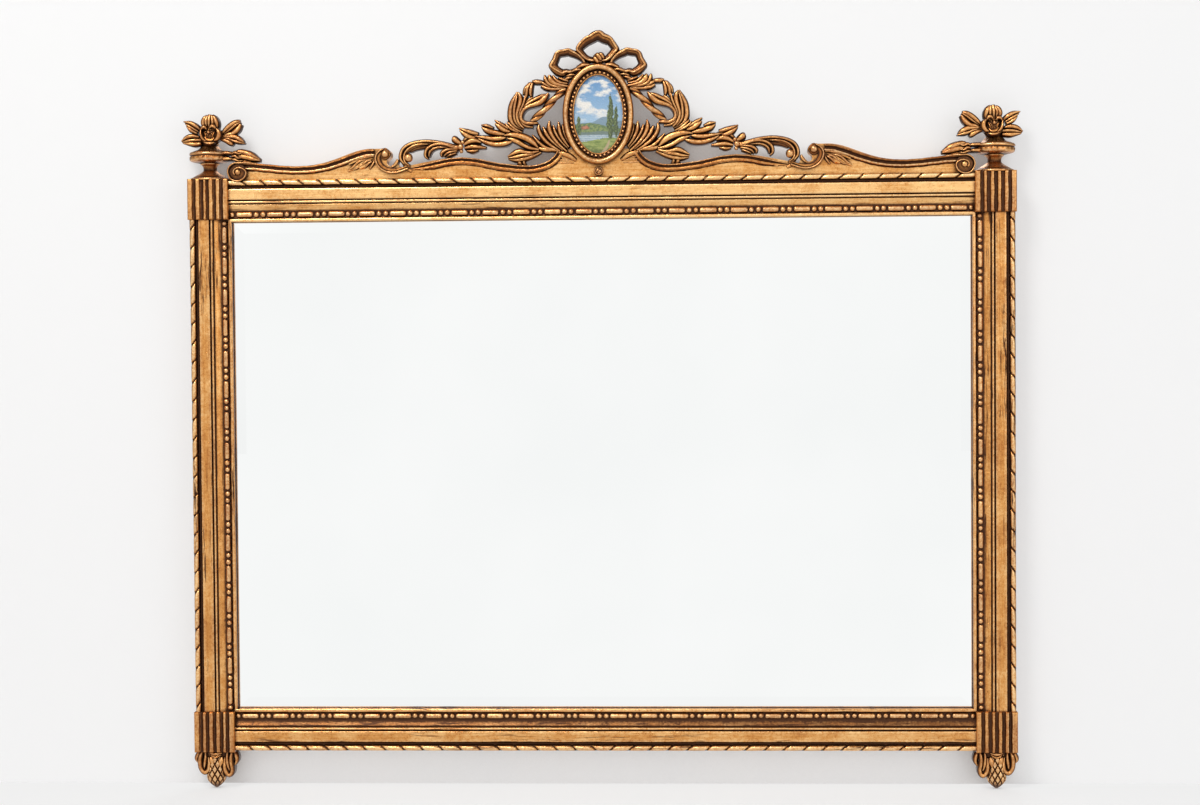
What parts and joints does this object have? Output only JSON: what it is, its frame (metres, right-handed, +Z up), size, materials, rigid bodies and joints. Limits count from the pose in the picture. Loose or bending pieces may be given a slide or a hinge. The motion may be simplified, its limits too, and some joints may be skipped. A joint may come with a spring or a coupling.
{
  "type": "wall mirror",
  "caption": "Wide overmantel mirror in a carved gilded wood frame with a scrolled crest, an oval painted medallion under a bow, urn finials and pendant feet.",
  "frame": {"origin": "middle of the overall box, at the bottom of the two pendant feet", "axes": "+X to the right as seen from the front, +Z up, the front faces -Y and the wall pads face +Y"},
  "size_m": [1.226, 0.044, 1.102],
  "materials": {
    "gilded_wood": "water gilding over red bole, rubbed and darkened with age",
    "gilded_carving": "burnished gilding on carved wood, dark patina in the hollows",
    "silvered_glass": "bevelled silvered plate",
    "painted_panel": "painted and varnished scene",
    "bare_wood": "unfinished softwood",
    "backing_board": "smooth hardboard",
    "steel": "zinc plated",
    "brass": "dull, slotted head",
    "brass_plated": "bright plated",
    "felt": "dense felt"
  },
  "bodies": {
    "frame": {"backing_board": "backing_board", "backing_screws": "steel", "batten_screws": "steel", "bottom_bead_course": "gilded_carving", "bottom_left_block": "gilded_wood", "bottom_rail": "gilded_wood", "bottom_right_block": "gilded_wood", "bow_knot": "gilded_carving", "bow_top_loop": "gilded_carving", "crest_battens": "bare_wood", "crest_board": "gilded_wood", "crest_screw": "brass", "hanger_screws": "steel", "left_acanthus_leaf": "gilded_carving", "left_bead_course": "gilded_carving", "left_bow_loop": "gilded_carving", "left_finial_flower": "gilded_carving", "left_finial_spray": "gilded_carving", "left_finial_urn": "gilded_carving", "left_foot_cone": "gilded_carving", "left_foot_leaves": "gilded_carving", "left_hanger_strap": "brass_plated", "left_laurel_branch": "gilded_carving", "left_palmette": "gilded_carving", "left_rope": "gilded_carving", "left_scroll_moulding": "gilded_carving", "left_scroll_tail": "gilded_carving", "left_side_bud": "gilded_carving", "left_stile": "gilded_wood", "medallion_beads": "gilded_carving", "medallion_panel": "painted_panel", "medallion_ring": "gilded_carving", "mirror_glass": "silvered_glass", "mitre_keys": "bare_wood", "ornament_dowels": "bare_wood", "packing_strips": "bare_wood", "right_acanthus_leaf": "gilded_carving", "right_bead_course": "gilded_carving", "right_bow_loop": "gilded_carving", "right_finial_flower": "gilded_carving", "right_finial_spray": "gilded_carving", "right_finial_urn": "gilded_carving", "right_foot_cone": "gilded_carving", "right_foot_leaves": "gilded_carving", "right_hanger_strap": "brass_plated", "right_laurel_branch": "gilded_carving", "right_palmette": "gilded_carving", "right_rope": "gilded_carving", "right_scroll_moulding": "gilded_carving", "right_scroll_tail": "gilded_carving", "right_side_bud": "gilded_carving", "right_stile": "gilded_wood", "top_bead_course": "gilded_carving", "top_left_block": "gilded_wood", "top_rail": "gilded_wood", "top_right_block": "gilded_wood", "wall_bumpers": "felt"},
    "left_ring": {"left_hanger_ring": "brass_plated"},
    "right_ring": {"right_hanger_ring": "brass_plated"}
  },
  "joints": [
    {"name": "left_ring_hinge", "type": "hinge", "parent": "frame", "child": "left_ring", "pos_m": [-0.5715, 0.0191, 0.696], "axis": [1, 0, 0], "range_deg": [0, 180]},
    {"name": "right_ring_hinge", "type": "hinge", "parent": "frame", "child": "right_ring", "pos_m": [0.5715, 0.0191, 0.696], "axis": [1, 0, 0], "range_deg": [0, 180]}
  ]
}
